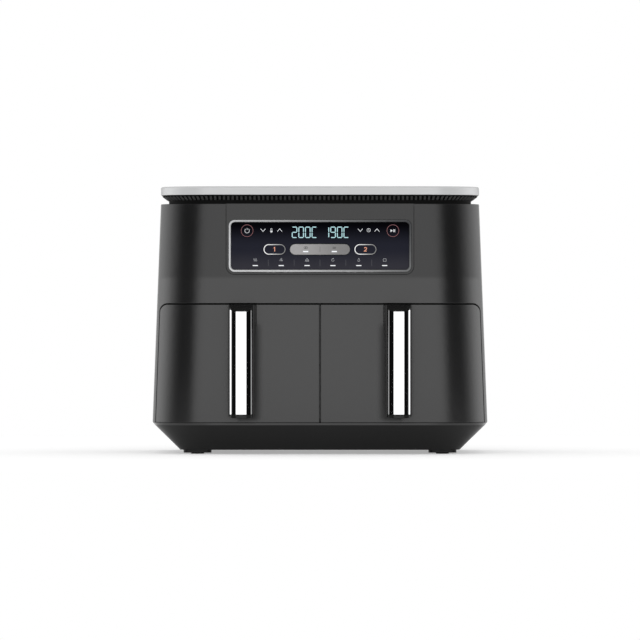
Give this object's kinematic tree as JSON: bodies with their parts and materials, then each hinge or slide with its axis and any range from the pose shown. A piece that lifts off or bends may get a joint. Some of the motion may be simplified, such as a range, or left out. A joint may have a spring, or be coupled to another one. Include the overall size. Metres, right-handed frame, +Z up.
{
  "type": "twin-drawer air fryer",
  "caption": "Counter-top air fryer with two side-by-side pull-out drawers, bar handles, a black control panel, a pale lid over a vent neck and a chamfered base.",
  "frame": {"origin": "on the floor, under the middle of the whole object, handles included", "axes": "+Z up, +X to the right seen from the front, +Y to the back"},
  "size_m": [0.413, 0.308, 0.3287],
  "materials": {
    "body_grey": "satin",
    "base_black": "satin",
    "cap_silver": "satin metallic paint",
    "grip_black": "semi-gloss",
    "handle_chrome": "polished",
    "bezel_silver": "satin plated",
    "lens_black": "gloss",
    "key_black": "gloss",
    "rocker_silver": "satin metallic paint",
    "lamp_white": "clear, lit from behind",
    "display": "gloss",
    "circuit_green": "solder mask",
    "switch_black": "matte",
    "spacer_white": "matte",
    "bay_sheet": "rolled sheet",
    "bay_steel": "rolled sheet",
    "heater_steel": "heat-stained",
    "motor_steel": "plated",
    "fan_aluminium": "pressed sheet",
    "fan_black": "matte",
    "bush_brass": "sintered",
    "pan_coating": "non-stick coating",
    "silicone": "matte",
    "screw_steel": "zinc plated"
  },
  "bodies": {
    "casing": {"main_housing": "body_grey", "control_fascia": "body_grey", "base_pan": "base_black", "vent_ring": "base_black", "rear_cover": "base_black", "top_cap": "cap_silver", "panel_bezel": "bezel_silver", "panel_lens": "lens_black", "light_guides": "lamp_white", "display_module": "display", "control_board": "circuit_green", "power_board": "circuit_green", "tact_switches": "switch_black", "interlock_switches": "switch_black", "thermal_cutouts": "switch_black", "board_posts": "spacer_white", "ribbon_cable": "spacer_white", "left_cooking_bay": "bay_sheet", "right_cooking_bay": "bay_sheet", "left_heater_guard": "bay_steel", "right_heater_guard": "bay_steel", "left_motor_mount": "bay_steel", "right_motor_mount": "bay_steel", "drawer_runners": "bay_steel", "left_heater": "heater_steel", "right_heater": "heater_steel", "temperature_probes": "heater_steel", "left_motor_can": "motor_steel", "right_motor_can": "motor_steel", "motor_bushes": "bush_brass", "foot_pads": "silicone", "cord_gland": "silicone", "case_screws": "screw_steel"},
    "left_drawer": {"left_drawer_front": "body_grey", "left_drawer_backplate": "grip_black", "left_pan": "pan_coating", "left_handle_grip": "grip_black", "left_handle_strip": "handle_chrome", "left_drawer_screws": "screw_steel"},
    "left_crisper": {"left_crisper_plate": "pan_coating", "left_crisper_bumpers": "silicone"},
    "left_fan_set": {"left_rotor": "motor_steel", "left_circulation_fan": "fan_aluminium", "left_cooling_fan": "fan_black"},
    "right_drawer": {"right_drawer_front": "body_grey", "right_drawer_backplate": "grip_black", "right_pan": "pan_coating", "right_handle_grip": "grip_black", "right_handle_strip": "handle_chrome", "right_drawer_screws": "screw_steel"},
    "right_crisper": {"right_crisper_plate": "pan_coating", "right_crisper_bumpers": "silicone"},
    "right_fan_set": {"right_rotor": "motor_steel", "right_circulation_fan": "fan_aluminium", "right_cooling_fan": "fan_black"},
    "power_key_cap": {"power_key": "key_black"},
    "start_key_cap": {"start_key": "key_black"},
    "zone_1_key_cap": {"zone_1_key": "key_black"},
    "zone_2_key_cap": {"zone_2_key": "key_black"},
    "link_rocker_cap": {"link_rocker": "rocker_silver"}
  },
  "joints": [
    {"name": "left_drawer_slide", "type": "slide", "parent": "casing", "child": "left_drawer", "axis": [0, -1, 0], "range_m": [0, 0.24]},
    {"name": "left_crisper_lift", "type": "slide", "parent": "left_drawer", "child": "left_crisper", "axis": [0, 0, 1], "range_m": [0, 0.095]},
    {"name": "left_fan_spin", "type": "hinge", "parent": "casing", "child": "left_fan_set", "pos_m": [-0.1, 0.019, 0.24], "axis": [0, 0, 1], "continuous": true},
    {"name": "right_drawer_slide", "type": "slide", "parent": "casing", "child": "right_drawer", "axis": [0, -1, 0], "range_m": [0, 0.24]},
    {"name": "right_crisper_lift", "type": "slide", "parent": "right_drawer", "child": "right_crisper", "axis": [0, 0, 1], "range_m": [0, 0.095]},
    {"name": "right_fan_spin", "type": "hinge", "parent": "casing", "child": "right_fan_set", "pos_m": [0.1, 0.019, 0.24], "axis": [0, 0, 1], "continuous": true},
    {"name": "power_key_press", "type": "slide", "parent": "casing", "child": "power_key_cap", "axis": [0, 1, 0], "range_m": [0, 0.0008], "stiffness_N_per_m": 1000},
    {"name": "start_key_press", "type": "slide", "parent": "casing", "child": "start_key_cap", "axis": [0, 1, 0], "range_m": [0, 0.0008], "stiffness_N_per_m": 1000},
    {"name": "zone_1_key_press", "type": "slide", "parent": "casing", "child": "zone_1_key_cap", "axis": [0, 1, 0], "range_m": [0, 0.0008], "stiffness_N_per_m": 1000},
    {"name": "zone_2_key_press", "type": "slide", "parent": "casing", "child": "zone_2_key_cap", "axis": [0, 1, 0], "range_m": [0, 0.0008], "stiffness_N_per_m": 1000},
    {"name": "link_rocker_tilt", "type": "hinge", "parent": "casing", "child": "link_rocker_cap", "pos_m": [0, -0.1105, 0.2513], "axis": [0, 0, 1], "range_deg": [-1.2, 1.2], "stiffness_Nm_per_rad": 2}
  ]
}
